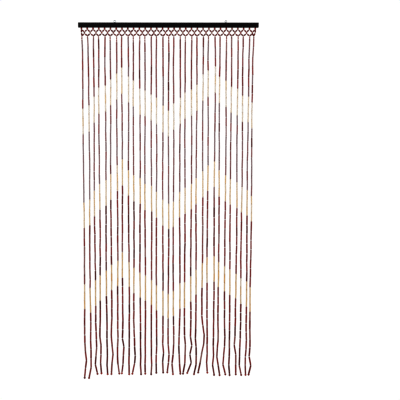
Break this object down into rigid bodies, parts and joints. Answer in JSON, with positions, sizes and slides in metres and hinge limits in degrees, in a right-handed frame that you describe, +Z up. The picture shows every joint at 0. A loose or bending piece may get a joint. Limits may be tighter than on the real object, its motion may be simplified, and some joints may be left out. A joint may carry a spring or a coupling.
{
  "type": "bamboo bead door curtain on its hanging rail",
  "caption": "Doorway string curtain of stained bamboo tube beads with pale zigzag bands, hung by a beaded net heading from a black wooden rail with screw eyes.",
  "frame": {"origin": "centre of the rail's back face", "axes": "+X along the rail, to the right as seen from the front; +Y out of the rail's back; +Z up, along the strands"},
  "size_m": [0.9, 0.0178, 1.8324],
  "materials": {
    "black_paint": "satin black paint",
    "zinc_plate": "zinc plated wire",
    "stained_bamboo": "dark stain under thin varnish",
    "natural_bamboo": "natural bamboo skin",
    "thread": "twisted nylon thread"
  },
  "bodies": {
    "root": {"rail": "black_paint", "screw_eye_left": "zinc_plate", "screw_eye_right": "zinc_plate", "bead_curtain": "stained_bamboo"}
  },
  "joints": []
}
